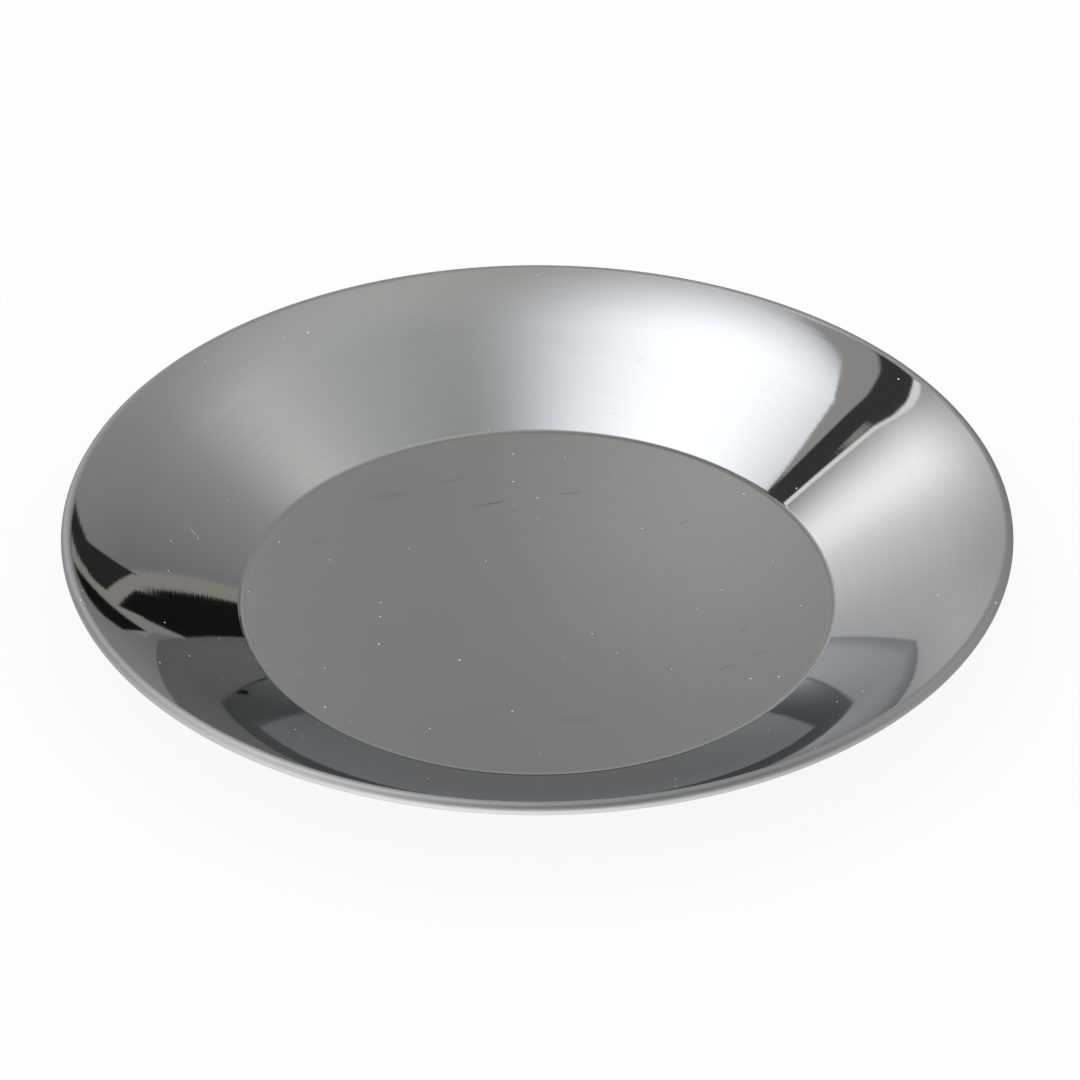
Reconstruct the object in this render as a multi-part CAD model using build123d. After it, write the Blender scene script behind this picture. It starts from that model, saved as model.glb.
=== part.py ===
from build123d import *

import os
from math import cos, degrees, radians, sin, tan

# A steel gold pan: one sheet, pressed into a flat bottom and a sloping wall, with its edge
# rolled down and back over a stiffening wire.
# Millimetres and degrees. +Z is up, and the origin is the centre of the underside, which
# the pan rests on.

# Driving dimensions
RIM_DIAMETER = 304.8  # over the rolled rim: a 12 inch pan
BASE_DIAMETER = 191.0  # flat bottom, inside, between the sharp corners of the crease
FLARE_START_DIAMETER = 260.0  # below this the wall is a straight cone
SHEET = 0.8  # sheet steel thickness
WALL_SLOPE = 30.0  # the cone, above the horizontal
RIM_SLOPE = 24.6  # the wall where it meets the rim, after easing outward
CREASE_RADIUS = 4.5  # inside, between the bottom and the wall
WIRE_DIAMETER = 2.5  # rim wire
WIRE_CLEARANCE = 0.05  # between the wire and the sheet around it, all round
CURL_TURN = 300.0  # how far the edge wraps round the wire
WIRE_END_GAP = 1.0  # between the butted ends of the wire ring

# Worked out from them
rim_radius = RIM_DIAMETER / 2
base_radius = BASE_DIAMETER / 2
flare_start = FLARE_START_DIAMETER / 2
bead_radius = WIRE_DIAMETER / 2 + WIRE_CLEARANCE + SHEET
bead_centre = rim_radius - bead_radius
curl_start = bead_centre - bead_radius * sin(radians(RIM_SLOPE))
flare_radius = (curl_start - flare_start) / (sin(radians(WALL_SLOPE)) - sin(radians(RIM_SLOPE)))
crease_setback = CREASE_RADIUS * tan(radians(WALL_SLOPE / 2))
wall_length = (flare_start - base_radius) / cos(radians(WALL_SLOPE)) - crease_setback


def sheet_face(depth):
    """The sheet's section line at one depth below its upper face, from the axis to the cut
    edge inside the rolled rim: bottom, crease, cone, flare and curl, each tangent to the next."""
    bottom = Line((0, SHEET - depth), (base_radius - crease_setback, SHEET - depth))
    crease = JernArc(bottom @ 1, bottom % 1, CREASE_RADIUS + depth, WALL_SLOPE)
    cone = PolarLine(crease @ 1, wall_length, WALL_SLOPE)
    flare = JernArc(cone @ 1, cone % 1, flare_radius - depth, RIM_SLOPE - WALL_SLOPE)
    curl = JernArc(flare @ 1, flare % 1, bead_radius - depth, -CURL_TURN)
    return Curve() + [bottom, crease, cone, flare, curl]


def pan_shell():
    """The pressed sheet: the area between its two faces, turned about the axis."""
    upper = sheet_face(0)
    lower = sheet_face(SHEET)
    on_axis = Line(upper @ 0, lower @ 0)
    cut_edge = Line(upper @ 1, lower @ 1)
    section = make_face(upper.edges() + lower.edges() + [on_axis, cut_edge])
    return revolve(Plane.XZ * section, Axis.Z)


def bead_height():
    """Height of the rolled rim's centre above the underside."""
    flare_end = sheet_face(0).edges()[3] @ 1
    return flare_end.Y - bead_radius * cos(radians(RIM_SLOPE))


def rim_wire():
    """The stiffening wire: one length bent to a ring, with its ends butted at the back."""
    gap_angle = degrees(WIRE_END_GAP / bead_centre)
    section = Location((bead_centre, bead_height())) * Circle(WIRE_DIAMETER / 2)
    ring = revolve(Plane.XZ * section, Axis.Z, 360 - gap_angle)
    return Rot(0, 0, 90 + gap_angle / 2) * ring


os.makedirs("parts", exist_ok=True)
export_step(pan_shell(), "parts/pan_shell.step")
export_step(rim_wire(), "parts/rim_wire.step")
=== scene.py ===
"""A polished steel gold pan on a pale floor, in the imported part's own frame.

Metres and degrees. The rim wire keeps its CAD mesh. The sheet is turned again here as a finer
mesh with exact normals, because a mirror finish shows every facet of a coarse one.
"""

from math import cos, pi, radians, sin, tan

import bpy
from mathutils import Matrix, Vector


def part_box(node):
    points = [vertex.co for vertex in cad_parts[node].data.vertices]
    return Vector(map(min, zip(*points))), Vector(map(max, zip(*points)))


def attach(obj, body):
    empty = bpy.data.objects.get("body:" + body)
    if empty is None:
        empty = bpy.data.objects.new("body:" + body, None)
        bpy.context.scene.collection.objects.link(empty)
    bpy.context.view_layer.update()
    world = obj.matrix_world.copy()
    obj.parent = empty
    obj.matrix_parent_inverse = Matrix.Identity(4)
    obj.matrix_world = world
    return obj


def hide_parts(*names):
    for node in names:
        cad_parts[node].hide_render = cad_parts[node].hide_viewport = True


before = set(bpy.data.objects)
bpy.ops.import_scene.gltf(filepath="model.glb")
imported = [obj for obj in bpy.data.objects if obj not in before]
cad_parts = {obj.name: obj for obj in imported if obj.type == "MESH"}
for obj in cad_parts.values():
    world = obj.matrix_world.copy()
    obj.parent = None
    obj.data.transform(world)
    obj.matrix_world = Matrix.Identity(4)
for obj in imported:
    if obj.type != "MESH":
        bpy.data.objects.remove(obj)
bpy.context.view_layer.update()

# The sheet's section. The outer radius and the height come from the frame.
MM = 0.001
SHEET = 0.8 * MM
BASE_RADIUS = 95.5 * MM  # to the sharp corner of the crease, inside
FLARE_START = 130.0 * MM  # radius at which the cone begins to ease outward
WALL_SLOPE = radians(30)
RIM_SLOPE = radians(24.6)
CREASE_RADIUS = 4.5 * MM
BEAD_RADIUS = 2.1 * MM
CURL_TURN = radians(300)
SEGMENTS = 384  # round the pan

shell_low, shell_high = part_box("pan_shell")
RIM_RADIUS = min(shell_high.x, shell_high.y, -shell_low.x, -shell_low.y)
HEIGHT = shell_high.z


# ---------------------------------------------------------------- node trees


class Tree:
    """Short calls for writing a node tree as expressions. An input is a socket or a constant."""

    def __init__(self, tree):
        self.nodes = tree.nodes
        self.links = tree.links
        self.nodes.clear()

    def add(self, kind, inputs=(), **settings):
        node = self.nodes.new(kind)
        for name, value in settings.items():
            setattr(node, name, value)
        for key, value in dict(inputs).items():
            self.feed(node.inputs[key], value)
        return node

    def feed(self, socket, value):
        if isinstance(value, bpy.types.NodeSocket):
            self.links.new(value, socket)
        else:
            socket.default_value = value

    def math(self, operation, *values):
        return self.add("ShaderNodeMath", enumerate(values), operation=operation).outputs[0]

    def vector(self, operation, *values):
        node = self.add("ShaderNodeVectorMath", enumerate(values), operation=operation)
        return node.outputs["Value" if operation in ("DOT_PRODUCT", "LENGTH") else "Vector"]

    def scale(self, vector, factor):
        node = self.add("ShaderNodeVectorMath", {"Vector": vector, "Scale": factor}, operation="SCALE")
        return node.outputs["Vector"]

    def step(self, value, low, high, out_low=0.0, out_high=1.0):
        inputs = {"Value": value, "From Min": low, "From Max": high, "To Min": out_low, "To Max": out_high}
        return self.add("ShaderNodeMapRange", inputs, interpolation_type="SMOOTHSTEP").outputs["Result"]

    def mix(self, factor, first, second):
        node = self.add("ShaderNodeMix", data_type="RGBA", clamp_factor=True)
        self.feed(node.inputs["Factor"], factor)
        self.feed(node.inputs[6], first)
        self.feed(node.inputs[7], second)
        return node.outputs[2]

    def noise(self, vector, scale, detail=2.0, roughness=0.5):
        inputs = {"Vector": vector, "Scale": scale, "Detail": detail, "Roughness": roughness}
        return self.add("ShaderNodeTexNoise", inputs).outputs["Fac"]

    def xyz(self, x=0.0, y=0.0, z=0.0):
        return self.add("ShaderNodeCombineXYZ", {"X": x, "Y": y, "Z": z}).outputs["Vector"]


def rgb(red, green, blue):
    return (red, green, blue, 1.0)


# ---------------------------------------------------------------- the studio

# The pan is a mirror, so the studio round it is most of what it shows. It is painted on the inside
# of a dome by direction: azimuth from +Y toward +X, then elevation, from the middle of the rim.
DOME_RADIUS = 7 * RIM_RADIUS

# Broad soft lights above the horizon: azimuth, elevation, width, colour.
STUDIO_GLOWS = [
    (-37, 37, 6, (0.8, 0.8, 0.8)),  # window, its bright middle
    (-38, 15, 12, (0.8, 0.8, 0.8)),  # window, spilling down the wall
    (-28, 35, 10, (0.4, 0.4, 0.4)),  # window, on the frame beside it
    (58, 50, 8, (0.3, 0.27, 0.23)),  # warm ceiling on the right
    (-8, 7, 12, (0.5, 0.5, 0.5)),  # far end of the table
    (8, 36, 14, (0.18, 0.17, 0.15)),  # wall behind
    (5, 31, 3, (0.15, 0.15, 0.15)),  # wall behind, a paler patch
    (80, 25, 35, (0.48, 0.5, 0.51)),  # wall on the right
    (40, 72, 14, (0.2, 0.25, 0.25)),  # ceiling
    (10, 70, 13, (0.2, 0.15, 0.1)),  # warm ceiling behind
    (-120, 0, 25, (1.1, 1.1, 1.05)),  # white card on the left
]
ROOM_COLOUR = (0.0, 0.0, 0.0)

FLAT_MAP_LIMIT = 0.1  # keeps the flat map finite straight down, where no panel is

# The table that the studio stands on, below a soft horizon (heights on the unit sphere).
HORIZON_TOP = 0.02
HORIZON_BOTTOM = -0.12
TABLE_SHADE = (0.25, 0.25, 0.25)
TABLE_GLOWS = [
    (-165, -35, 45, (1.5, 1.5, 1.4)),  # white paper in front of the pan
]

# The softbox overhead is brightest near its lamp, and its apron hangs on the left.
SOFTBOX_GLOWS = [
    (-60, 68, 20, (1.6, 1.65, 1.7)),  # lamp
    (-118, 42, 17, (0.9, 0.9, 0.85)),  # apron
]

# Tones of what stands in the studio.
BLACK = (0.01, 0.01, 0.01)
BLACK_PAINT = (0.05, 0.05, 0.05)
SHADE = (0.03, 0.03, 0.03)
GREY_METAL = (0.34, 0.32, 0.29)
GREY_CLOTH = (0.38, 0.37, 0.35)
GREY_WALL = (0.16, 0.165, 0.17)
WHITE_TRIM = (1.0, 0.97, 0.95)

# Cards, frames and stands, nearest last: tone, then corners as (azimuth, elevation, softness of
# the edge that starts there). Each is convex on the flat map.
STUDIO_PANELS = {
    "softbox": (
        (0.0, 0.0, 0.0),
        [(-75, 22, 5), (-49, 48, 5), (-37, 55, 10), (-36, 56, 20), (127, 51, 20), (-150, 30, 8)],
    ),
    "camera_side": (GREY_WALL, [(-140, 0, 12), (-165, 80, 6), (130, 78, 6), (100, 5, 10)]),
    "bar_trim": (
        WHITE_TRIM,
        [
            (-48, 43, 0.5),
            (-51, 48, 0.5),
            (-36, 56, 0.5),
            (-26, 54, 0.5),
            (-27.5, 49.5, 0.5),
            (-29, 47.5, 0.5),
            (-31, 46, 0.5),
            (-33.5, 45, 0.5),
            (-37, 44.5, 0.5),
        ],
    ),
    "black_bar": (
        BLACK_PAINT,
        [
            (-48, 44, 0.5),
            (-51, 48, 0.5),
            (-36, 56, 0.5),
            (-27, 54, 0.5),
            (-28.5, 50, 0.5),
            (-30, 48, 0.5),
            (-32, 47, 0.5),
            (-34, 46, 0.5),
            (-38, 45, 0.5),
        ],
    ),
    "bar_clip": (GREY_METAL, [(-45, 45.5, 0.5), (-44, 46, 0.5), (-43, 45, 0.5), (-44, 44.5, 0.5)]),
    "softbox_edge_cloth": (
        GREY_CLOTH,
        [
            (-50, 48, 0.5),
            (-50, 49, 0.5),
            (-48, 52, 0.5),
            (-42, 54.5, 1),
            (-32, 56.5, 1),
            (-31, 55, 0.5),
            (-32, 52.5, 0.5),
            (-35, 51, 0.5),
            (-41, 49.5, 0.5),
        ],
    ),
    "softbox_corner_cloth": (
        GREY_CLOTH,
        [(-39, 55, 1.5), (-35, 60, 4), (-30, 62, 4), (-25, 58, 2), (-32, 55, 1)],
    ),
    "black_bag": (
        BLACK,
        [(13.5, 12, 0.5), (26, 17, 0.5), (18, 6.5, 0.5), (15, 4, 0.5), (13.5, 4, 0.5)],
    ),
    "stand_post": (
        GREY_METAL,
        [(15.5, 26, 0.5), (17.5, 25.5, 0.5), (13.5, 4, 1), (11, 4.5, 0.5), (12, 14.5, 0.5)],
    ),
    "stand_leg_near": (
        GREY_METAL,
        [(13.5, 11, 0.5), (18, 12, 0.5), (20, 14, 0.5), (20, 15, 0.5), (14, 14, 0.5)],
    ),
    "stand_leg_far": (GREY_METAL, [(17.5, 12, 0.5), (27.5, 18, 0.5), (28, 20.5, 0.5), (19.5, 15, 0.5)]),
    "dark_gap_low": (
        SHADE,
        [(14.5, 16.5, 0.5), (14.5, 14, 0.5), (20, 15, 0.5), (18, 22.5, 0.5), (16, 22, 0.5)],
    ),
    "dark_gap_high": (SHADE, [(18.5, 29.5, 0.5), (19.5, 29, 0.5), (18, 22, 0.5), (15, 19, 0.5)]),
    "bag_strap": (BLACK, [(13.5, 11, 0.5), (16, 11.5, 0.5), (15, 7, 0.5), (14, 7.5, 0.5)]),
    "black_post": (
        BLACK,
        [(14.5, 21, 0.5), (12.5, 16.5, 0.5), (11, 12, 0.5), (10.5, 8, 0.5), (12, 5, 0.5)],
    ),
}


def direction(azimuth, elevation):
    a = radians(azimuth)
    e = radians(elevation)
    return Vector((sin(a) * cos(e), cos(a) * cos(e), sin(e)))


def flat_map(azimuth, elevation):
    """Stereographic place of a direction, with straight up at the middle."""
    d = direction(azimuth, elevation)
    return Vector((d.x, d.y)) / (1 + d.z)


def glow_mask(tree, towards, azimuth, elevation, width):
    """Falls off as a bell round one direction."""
    facing = tree.vector("DOT_PRODUCT", towards, direction(azimuth, elevation))
    sharpness = 1 / radians(width) ** 2
    return tree.math("EXPONENT", tree.math("MULTIPLY_ADD", facing, sharpness, -sharpness))


def with_glows(tree, towards, colour, glows):
    """A colour with soft lights added on it."""
    for azimuth, elevation, width, tint in glows:
        glow = glow_mask(tree, towards, azimuth, elevation, width)
        colour = tree.vector("ADD", colour, tree.scale(tint, glow))
    return colour


def panel_mask(tree, place, corners):
    """Inside of a convex outline on the flat map, each edge with its own softness."""
    points = [flat_map(azimuth, elevation) for azimuth, elevation, _ in corners]
    turn = sum(points[i - 1].cross(points[i]) for i in range(len(points)))
    mask = None
    for i, (_, _, softness) in enumerate(corners):
        start = points[i]
        along = (points[(i + 1) % len(points)] - start).normalized()
        inward = Vector((-along.y, along.x)) if turn > 0 else Vector((along.y, -along.x))
        width = radians(softness) / 2
        plane = (inward.x / width, inward.y / width, 0.5 - inward.dot(start) / width)
        edge = tree.step(tree.vector("DOT_PRODUCT", place, plane), 0.0, 1.0)
        mask = edge if mask is None else tree.math("MULTIPLY", mask, edge)
    return mask


def studio_material():
    material = bpy.data.materials.new("studio_surroundings")
    material.use_nodes = True
    material.cycles.emission_sampling = "NONE"
    tree = Tree(material.node_tree)
    place = tree.add("ShaderNodeTexCoord").outputs["Object"]
    towards = tree.vector("NORMALIZE", place)
    parts = tree.add("ShaderNodeSeparateXYZ", {"Vector": towards}).outputs
    spread = tree.math("MAXIMUM", tree.math("ADD", parts["Z"], 1.0), FLAT_MAP_LIMIT)
    flat = tree.xyz(tree.math("DIVIDE", parts["X"], spread), tree.math("DIVIDE", parts["Y"], spread), 1.0)
    colour = with_glows(tree, towards, ROOM_COLOUR, STUDIO_GLOWS)
    for name, (tint, corners) in STUDIO_PANELS.items():
        shown = rgb(*tint)
        if name == "softbox":
            shown = with_glows(tree, towards, tint, SOFTBOX_GLOWS)
        colour = tree.mix(panel_mask(tree, flat, corners), colour, shown)
    below = tree.step(parts["Z"], HORIZON_TOP, HORIZON_BOTTOM)
    colour = tree.mix(below, colour, with_glows(tree, towards, TABLE_SHADE, TABLE_GLOWS))
    emission = tree.add("ShaderNodeEmission", {"Color": colour, "Strength": 1.0})
    output = tree.add("ShaderNodeOutputMaterial")
    tree.feed(output.inputs["Surface"], emission.outputs[0])
    return material


def studio_dome():
    """The surroundings, seen only by what mirrors them."""
    mesh = bpy.data.meshes.new("studio_dome")
    rows = 48
    columns = 96
    points = [(0.0, 0.0, -DOME_RADIUS)]
    for row in range(1, rows):
        tilt = -pi / 2 + pi * row / rows
        for column in range(columns):
            spin = 2 * pi * column / columns
            across = DOME_RADIUS * cos(tilt)
            points.append((across * cos(spin), across * sin(spin), DOME_RADIUS * sin(tilt)))
    points.append((0.0, 0.0, DOME_RADIUS))
    faces = []
    for column in range(columns):
        beside = (column + 1) % columns
        faces.append((0, 1 + beside, 1 + column))
        for row in range(rows - 2):
            low = 1 + row * columns
            faces.append((low + column, low + beside, low + columns + beside, low + columns + column))
        top = 1 + (rows - 2) * columns
        faces.append((top + column, top + beside, len(points) - 1))
    mesh.from_pydata(points, [], faces)
    dome = bpy.data.objects.new("studio_dome", mesh)
    bpy.context.scene.collection.objects.link(dome)
    dome.location = (0, 0, HEIGHT)
    mesh.materials.append(studio_material())
    dome.visible_camera = False
    dome.visible_diffuse = False
    dome.visible_transmission = False
    dome.visible_volume_scatter = False
    dome.visible_shadow = False


FLOOR_COLOUR = (0.12, 0.12, 0.12)
FLOOR_BACKLIGHT = 0.86  # the paper glows, so the pan's shadow stays faint
FLOOR_SIZE = 40.0
FLOOR_GAP = 0.05 * MM  # keeps it clear of the pan's underside
SKY_LEVEL = 1.06  # plain soft light from all round, on what isn't a mirror


def floor():
    """A sheet of paper that is seen from above only, so that the pan can be looked at from below."""
    half = FLOOR_SIZE / 2
    mesh = bpy.data.meshes.new("floor")
    corners = [(x, y, -FLOOR_GAP) for x, y in ((-half, -half), (half, -half), (half, half), (-half, half))]
    mesh.from_pydata(corners, [], [(0, 1, 2, 3)])
    plane = bpy.data.objects.new("floor", mesh)
    bpy.context.scene.collection.objects.link(plane)
    material = bpy.data.materials.new("pale_floor")
    material.use_nodes = True
    tree = Tree(material.node_tree)
    paper = tree.add("ShaderNodeBsdfDiffuse", {"Color": rgb(*FLOOR_COLOUR)})
    backlight = tree.add("ShaderNodeEmission", {"Color": rgb(1, 1, 1), "Strength": FLOOR_BACKLIGHT})
    both = tree.add("ShaderNodeAddShader", {0: paper.outputs[0], 1: backlight.outputs[0]})
    clear = tree.add("ShaderNodeBsdfTransparent")
    from_below = tree.add("ShaderNodeNewGeometry").outputs["Backfacing"]
    sheet = tree.add("ShaderNodeMixShader", {0: from_below, 1: both.outputs[0], 2: clear.outputs[0]})
    output = tree.add("ShaderNodeOutputMaterial")
    tree.feed(output.inputs["Surface"], sheet.outputs[0])
    mesh.materials.append(material)
    plane.visible_glossy = False


def soft_light():
    world = bpy.data.worlds.new("soft_light")
    world.use_nodes = True
    world.cycles.sampling_method = "NONE"
    tree = Tree(world.node_tree)
    background = tree.add("ShaderNodeBackground", {"Color": rgb(1, 1, 1), "Strength": SKY_LEVEL})
    output = tree.add("ShaderNodeOutputWorld")
    tree.feed(output.inputs["Surface"], background.outputs[0])
    bpy.context.scene.world = world


# ---------------------------------------------------------------- the camera

CAMERA_LENS = 261.0  # on a 36 mm sensor
CAMERA_ELEVATION = 34.9
CAMERA_DISTANCE = 2.5104
CAMERA_AIM = Vector((0.0009, 0.0, 0.0236))


def camera():
    data = bpy.data.cameras.new("camera")
    data.lens = CAMERA_LENS
    data.sensor_width = 36.0
    eye = bpy.data.objects.new("camera", data)
    bpy.context.scene.collection.objects.link(eye)
    eye.location = CAMERA_AIM + CAMERA_DISTANCE * direction(180, CAMERA_ELEVATION)
    eye.rotation_euler = (radians(90 - CAMERA_ELEVATION), 0, 0)
    bpy.context.scene.camera = eye


# ---------------------------------------------------------------- materials


# Marks on the upper face of the sheet, in millimetres and degrees, seen from above: middle (x and y),
# direction, half length, half width, strength.
SCUFFS = [
    (-48.8, 58.0, 14, 8.5, 2.6, 0.10),
    (-28.9, 66.9, 17, 8.5, 1.2, 0.10),
    (-14.1, 54.0, 15, 5.5, 0.55, 0.42),
    (-17.5, 52.5, 8, 6.5, 0.9, 0.12),
    (10.9, 59.5, 10, 4.8, 1.1, 0.20),
    (48.1, 42.9, 30, 3.0, 1.1, 0.14),
    (60.3, -38.3, 32, 5.5, 0.7, 0.16),
    (66.1, -16.8, 60, 4.0, 0.8, 0.15),
    (71.2, -30.1, 25, 3.4, 0.6, 0.12),
    (12.2, -66.6, 3, 9.0, 2.6, 0.07),
    (-72.0, 31.0, 50, 6.0, 0.8, 0.08),
]
FIBRES = [
    (-111.5, 22.5, -38, 2.6, 0.13, 0.8),
    (-109.8, 20.4, -62, 1.5, 0.12, 0.7),
    (-99.4, -60.4, -68, 4.5, 0.12, 0.25),
    (34.0, 116.0, 40, 2.4, 0.11, 0.5),
]
MARK_WANDER = 1.1 * MM  # how far noise pushes the outline of a mark about
MARK_WANDER_SCALE = 330.0  # per metre

DUST_CELLS = 118.0  # per metre; each cell may hold one speck
DUST_SHARE = 0.09  # of the cells
DUST_RADIUS = (0.16 * MM, 0.38 * MM)
DUST_COLOUR = (0.80, 0.79, 0.77)

STEEL_COLOUR = (0.61, 0.615, 0.625)
STEEL_EDGE_TINT = (0.68, 0.705, 0.715)  # holds back the rise of reflection at a glancing angle
POLISH_LINES = 900.0  # across the sheet, per metre
FINE_LINES = 4200.0  # per metre
POLISH_DRIFT = 2.2  # how fast a line changes as it goes round
FINE_DRIFT = 9.0
POLISH_DEPTH = 0.003 * MM
FINE_RELIEF = 0.08  # height of the fine lines beside that of the others
WANDER_SCALE = 26.0  # slow change over the sheet, per metre
WANDER_TONE = 0.05
RING_TONE = (0.02, 0.09)  # how far the polishing lines lighten and darken the bottom and the wall

# Roughness of the clean mirror, and what each kind of wear adds to it.
MIRROR_ROUGHNESS = 0.022
FINE_DULLNESS = 0.012
SMUDGE_DULLNESS = 0.02
SMUDGE_SCALE = 34.0  # per metre
SCUFF_DULLNESS = 0.12
LINT_DULLNESS = 0.8
RIM_DULLNESS = 0.48  # rubbed by hands and gravel
RUB_WANDER = 0.6 * MM  # unevenness of the rubbed band's edge


def mark_mask(tree, place, marks):
    """Long soft marks at given places."""
    total = 0.0
    for x, y, heading, half_length, half_width, strength in marks:
        middle = Vector((x, y, 0)) * MM
        along = Vector((cos(radians(heading)), sin(radians(heading)), 0)) / (half_length * MM)
        across = Vector((-sin(radians(heading)), cos(radians(heading)), 0)) / (half_width * MM)
        run = tree.math("SUBTRACT", tree.vector("DOT_PRODUCT", place, along), middle.dot(along))
        side = tree.math("SUBTRACT", tree.vector("DOT_PRODUCT", place, across), middle.dot(across))
        reach = tree.vector("LENGTH", tree.xyz(run, side))
        total = tree.math("MULTIPLY_ADD", tree.step(reach, 1.0, 0.2), strength, total)
    return total


def dust_mask(tree, flat):
    """Small round specks scattered over the sheet."""
    inputs = {"Vector": flat, "Scale": DUST_CELLS}
    cells = tree.add("ShaderNodeTexVoronoi", inputs, voronoi_dimensions="2D").outputs
    random = tree.add("ShaderNodeSeparateColor", {"Color": cells["Color"]}).outputs
    small, large = DUST_RADIUS
    radius = tree.step(random["Green"], 0.0, 1.0, small * DUST_CELLS, large * DUST_CELLS)
    inside = tree.math("SUBTRACT", 1.0, tree.math("DIVIDE", cells["Distance"], radius))
    held = tree.math("LESS_THAN", random["Red"], DUST_SHARE)
    return tree.math("MULTIPLY", tree.step(inside, 0.0, 0.45), held)


def steel_material():
    """Sheet steel, mirror polished in circles about the axis, with the handling marks and dust
    that such a mirror picks up."""
    material = bpy.data.materials.new("polished_steel")
    material.use_nodes = True
    tree = Tree(material.node_tree)
    place = tree.add("ShaderNodeTexCoord").outputs["Object"]
    parts = tree.add("ShaderNodeSeparateXYZ", {"Vector": place}).outputs
    flat = tree.xyz(parts["X"], parts["Y"], 0.0)
    radius = tree.vector("LENGTH", flat)
    around = tree.vector("NORMALIZE", flat)

    # Polishing lines follow circles: noise that changes fast with radius and slowly round the pan.
    run = tree.math("ADD", radius, parts["Z"])
    ring_run = tree.xyz(z=tree.math("MULTIPLY", run, POLISH_LINES))
    ring_place = tree.vector("ADD", tree.scale(around, POLISH_DRIFT), ring_run)
    rings = tree.noise(ring_place, 1.0, detail=3.0, roughness=0.55)
    fine_run = tree.xyz(z=tree.math("MULTIPLY", run, FINE_LINES))
    fine_place = tree.vector("ADD", tree.scale(around, FINE_DRIFT), fine_run)
    fine = tree.noise(fine_place, 1.0, detail=2.0)
    wander = tree.noise(place, WANDER_SCALE, detail=2.0)

    # Scuffs, fibres and dust lie on the upper face only.
    normal = tree.add("ShaderNodeNewGeometry").outputs["Normal"]
    upper = tree.step(tree.add("ShaderNodeSeparateXYZ", {"Vector": normal}).outputs["Z"], 0.0, 0.2)
    push = tree.add("ShaderNodeTexNoise", {"Vector": flat, "Scale": MARK_WANDER_SCALE, "Detail": 3.0})
    push = tree.scale(tree.vector("SUBTRACT", push.outputs["Color"], (0.5, 0.5, 0.5)), MARK_WANDER)
    ragged = tree.vector("ADD", flat, push)
    scuffs = tree.math("MULTIPLY", mark_mask(tree, ragged, SCUFFS), upper)
    lint = tree.math("MAXIMUM", mark_mask(tree, ragged, FIBRES), dust_mask(tree, flat))
    lint = tree.math("MULTIPLY", lint, upper)

    # Smudges dull the mirror a little, and the rim is rubbed.
    smudge = tree.step(tree.noise(place, SMUDGE_SCALE, detail=5.0, roughness=0.6), 0.38, 0.72)
    roughness = tree.math("MULTIPLY_ADD", smudge, SMUDGE_DULLNESS, MIRROR_ROUGHNESS)
    roughness = tree.math("MULTIPLY_ADD", tree.math("SUBTRACT", fine, 0.5), FINE_DULLNESS, roughness)
    rub_start = RIM_RADIUS - 1.6 * BEAD_RADIUS
    rub_full = RIM_RADIUS - 1.0 * BEAD_RADIUS
    rubbed = tree.step(tree.math("MULTIPLY_ADD", wander, RUB_WANDER, radius), rub_start, rub_full)
    roughness = tree.math("MULTIPLY_ADD", rubbed, RIM_DULLNESS, roughness)
    roughness = tree.math("MULTIPLY_ADD", scuffs, SCUFF_DULLNESS, roughness)
    roughness = tree.math("MULTIPLY_ADD", lint, LINT_DULLNESS, roughness)

    tone = tree.math("MULTIPLY_ADD", tree.math("SUBTRACT", wander, 0.5), WANDER_TONE, 1.0)
    ring_tone = tree.step(radius, BASE_RADIUS - CREASE_RADIUS, BASE_RADIUS, *RING_TONE)
    tone = tree.math("MULTIPLY_ADD", tree.math("SUBTRACT", rings, 0.5), ring_tone, tone)
    tone = tree.math("MULTIPLY", tone, tree.math("SUBTRACT", 1.0, scuffs))
    colour = tree.mix(lint, tree.scale(STEEL_COLOUR, tone), rgb(*DUST_COLOUR))

    relief = tree.math("MULTIPLY_ADD", fine, FINE_RELIEF, rings)
    bump = tree.add("ShaderNodeBump", {"Strength": 1.0, "Distance": POLISH_DEPTH, "Height": relief})
    tangent = tree.add("ShaderNodeTangent", direction_type="RADIAL", axis="Z").outputs["Tangent"]
    steel = tree.add(
        "ShaderNodeBsdfPrincipled",
        {
            "Base Color": colour,
            "Metallic": tree.math("SUBTRACT", 1.0, lint),
            "Roughness": roughness,
            "Normal": bump.outputs["Normal"],
            "Tangent": tangent,
        },
    )
    steel.inputs["Specular Tint"].default_value = rgb(*STEEL_EDGE_TINT)
    steel.inputs["Anisotropic"].default_value = 0.5
    steel.inputs["Anisotropic Rotation"].default_value = 0.25
    output = tree.add("ShaderNodeOutputMaterial")
    tree.feed(output.inputs["Surface"], steel.outputs["BSDF"])
    return material


WIRE_COLOUR = (0.42, 0.42, 0.41)
SCALE_COLOUR = (0.12, 0.10, 0.09)
WIRE_ROUGHNESS = (0.32, 0.5)
WIRE_LINES = 6000.0  # across the wire, per metre
WIRE_DRIFT = 6.0  # how fast a line changes along the wire
SCALE_SPECKS = 900.0  # per metre
WIRE_LINE_DEPTH = 0.02 * MM


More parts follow.
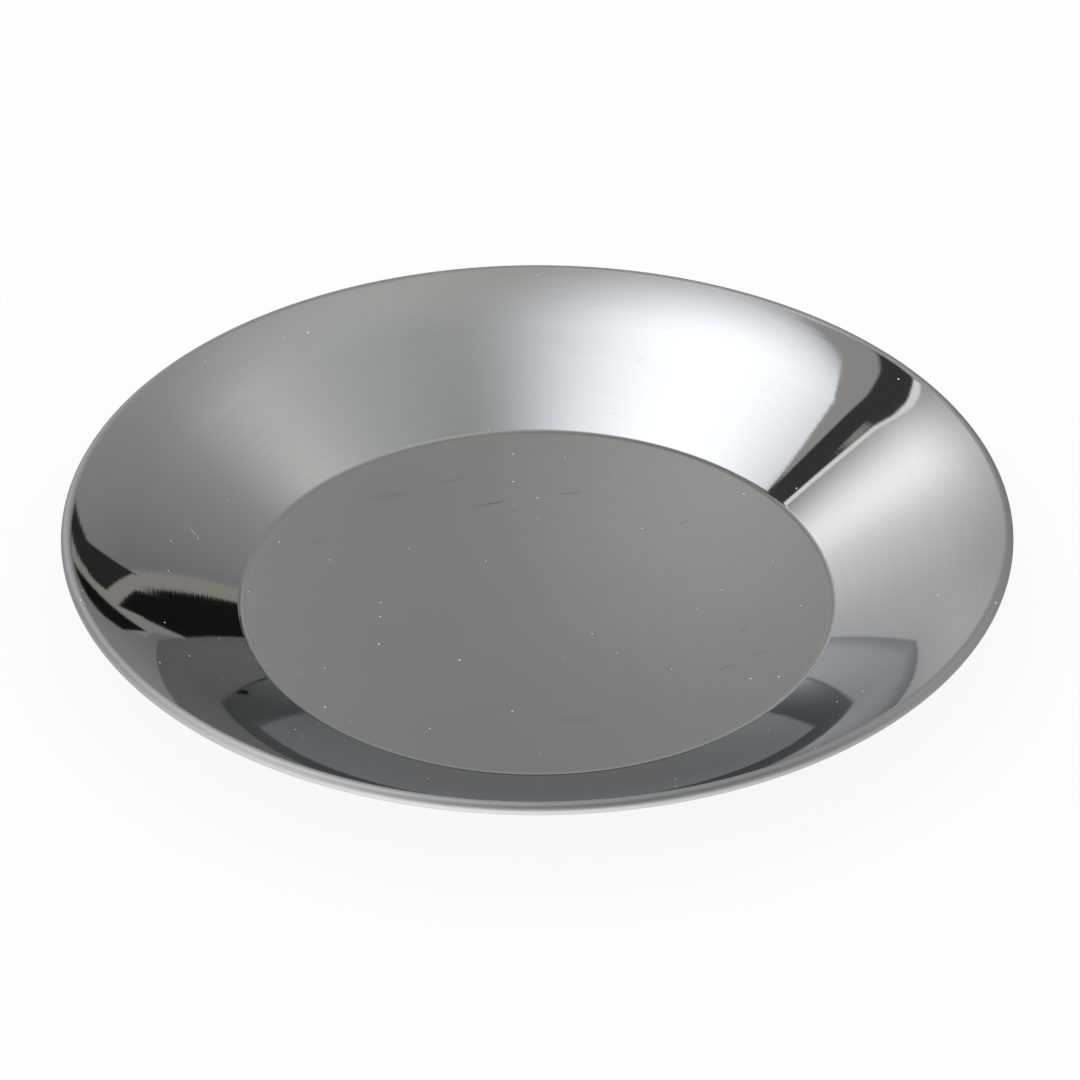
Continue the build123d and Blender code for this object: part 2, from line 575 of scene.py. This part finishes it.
def wire_material():
    """Drawn steel wire: dull, with fine lines along it and specks of dark scale."""
    material = bpy.data.materials.new("drawn_wire")
    material.use_nodes = True
    tree = Tree(material.node_tree)
    place = tree.add("ShaderNodeTexCoord").outputs["Object"]
    parts = tree.add("ShaderNodeSeparateXYZ", {"Vector": place}).outputs
    flat = tree.xyz(parts["X"], parts["Y"], 0.0)
    section = tree.xyz(tree.vector("LENGTH", flat), parts["Z"], 0.0)
    along = tree.scale(tree.vector("NORMALIZE", flat), WIRE_DRIFT)
    lines = tree.noise(tree.vector("ADD", tree.scale(section, WIRE_LINES), along), 1.0, detail=3.0)
    scale_specks = tree.step(tree.noise(place, SCALE_SPECKS, detail=4.0), 0.58, 0.70)
    drawn = tree.scale(WIRE_COLOUR, tree.step(lines, 0.2, 0.8, 0.85, 1.1))
    colour = tree.mix(scale_specks, drawn, rgb(*SCALE_COLOUR))
    roughness = tree.step(lines, 0.2, 0.8, *WIRE_ROUGHNESS)
    bump = tree.add("ShaderNodeBump", {"Strength": 0.6, "Distance": WIRE_LINE_DEPTH, "Height": lines})
    wire = tree.add(
        "ShaderNodeBsdfPrincipled",
        {"Base Color": colour, "Roughness": roughness, "Normal": bump.outputs["Normal"]},
    )
    wire.inputs["Metallic"].default_value = 1.0
    output = tree.add("ShaderNodeOutputMaterial")
    tree.feed(output.inputs["Surface"], wire.outputs["BSDF"])
    return material


# ---------------------------------------------------------------- the pan

# Points along each stretch of the section.
BOTTOM_STEPS = 12
CREASE_STEPS = 12
CONE_STEPS = 8
FLARE_STEPS = 16
CURL_STEPS = 48


def face_line(depth):
    """One face of the sheet, from the axis to the cut edge, as (radius, height, slope) points.
    Slope is the angle that the face's upward normal leans toward the axis."""
    line = []
    bottom_end = BASE_RADIUS - CREASE_RADIUS * tan(WALL_SLOPE / 2)
    top = SHEET - depth
    for step in range(BOTTOM_STEPS + 1):
        line.append((bottom_end * step / BOTTOM_STEPS, top, 0.0))
    crease_radius = CREASE_RADIUS + depth
    for step in range(1, CREASE_STEPS + 1):
        slope = WALL_SLOPE * step / CREASE_STEPS
        radius = bottom_end + crease_radius * sin(slope)
        line.append((radius, top + crease_radius * (1 - cos(slope)), slope))
    start_radius, start_height, _ = line[-1]
    cone_length = (FLARE_START - BASE_RADIUS) / cos(WALL_SLOPE) - CREASE_RADIUS * tan(WALL_SLOPE / 2)
    for step in range(1, CONE_STEPS + 1):
        length = cone_length * step / CONE_STEPS
        radius = start_radius + length * cos(WALL_SLOPE)
        line.append((radius, start_height + length * sin(WALL_SLOPE), WALL_SLOPE))
    start_radius, start_height, _ = line[-1]
    bead_centre = RIM_RADIUS - BEAD_RADIUS
    curl_start = bead_centre - BEAD_RADIUS * sin(RIM_SLOPE)
    flare_radius = (curl_start - FLARE_START) / (sin(WALL_SLOPE) - sin(RIM_SLOPE)) - depth
    for step in range(1, FLARE_STEPS + 1):
        slope = WALL_SLOPE + (RIM_SLOPE - WALL_SLOPE) * step / FLARE_STEPS
        radius = start_radius + flare_radius * (sin(WALL_SLOPE) - sin(slope))
        line.append((radius, start_height + flare_radius * (cos(slope) - cos(WALL_SLOPE)), slope))
    start_radius, start_height, _ = line[-1]
    curl_radius = BEAD_RADIUS - depth
    for step in range(1, CURL_STEPS + 1):
        slope = RIM_SLOPE - CURL_TURN * step / CURL_STEPS
        radius = start_radius + curl_radius * (sin(RIM_SLOPE) - sin(slope))
        line.append((radius, start_height + curl_radius * (cos(slope) - cos(RIM_SLOPE)), slope))
    return line


def pan():
    """The pressed sheet, turned from its section, with the exact normal of the section at each point."""
    upper = face_line(0.0)
    lower = face_line(SHEET)
    profile = [(r, z, slope, 1) for r, z, slope in upper]
    profile += [(r, z, slope, -1) for r, z, slope in reversed(lower)]
    points = []
    normals = []
    rings = []
    for r, z, slope, side in profile:
        if r == 0:
            rings.append([len(points)] * SEGMENTS)
            points.append((0.0, 0.0, z))
            normals.append((0.0, 0.0, float(side)))
            continue
        rings.append(range(len(points), len(points) + SEGMENTS))
        for segment in range(SEGMENTS):
            spin = 2 * pi * segment / SEGMENTS
            points.append((r * cos(spin), r * sin(spin), z))
            lean = -side * sin(slope)
            normals.append((lean * cos(spin), lean * sin(spin), side * cos(slope)))
    faces = []
    cut_edge = len(upper) - 1
    cut_faces = set()
    for ring in range(len(rings) - 1):
        near = rings[ring]
        far = rings[ring + 1]
        for segment in range(SEGMENTS):
            beside = (segment + 1) % SEGMENTS
            corners = list(dict.fromkeys([near[segment], far[segment], far[beside], near[beside]]))
            if ring == cut_edge:
                cut_faces.add(len(faces))
            faces.append(corners)
    mesh = bpy.data.meshes.new("polished_pan")
    mesh.from_pydata(points, [], faces)
    mesh.shade_smooth()
    loop_normals = []
    for polygon in mesh.polygons:
        flat_normal = polygon.normal.copy()
        for index in polygon.vertices:
            loop_normals.append(flat_normal if polygon.index in cut_faces else Vector(normals[index]))
    mesh.normals_split_custom_set(loop_normals)
    piece = bpy.data.objects.new("polished_pan", mesh)
    bpy.context.scene.collection.objects.link(piece)
    mesh.materials.append(steel_material())
    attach(piece, "root")
    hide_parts("pan_shell")


def finish_wire():
    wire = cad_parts["rim_wire"]
    wire.data.materials.clear()
    wire.data.materials.append(wire_material())


bpy.context.scene.view_settings.view_transform = "Standard"
camera()
soft_light()
studio_dome()
floor()
pan()
finish_wire()
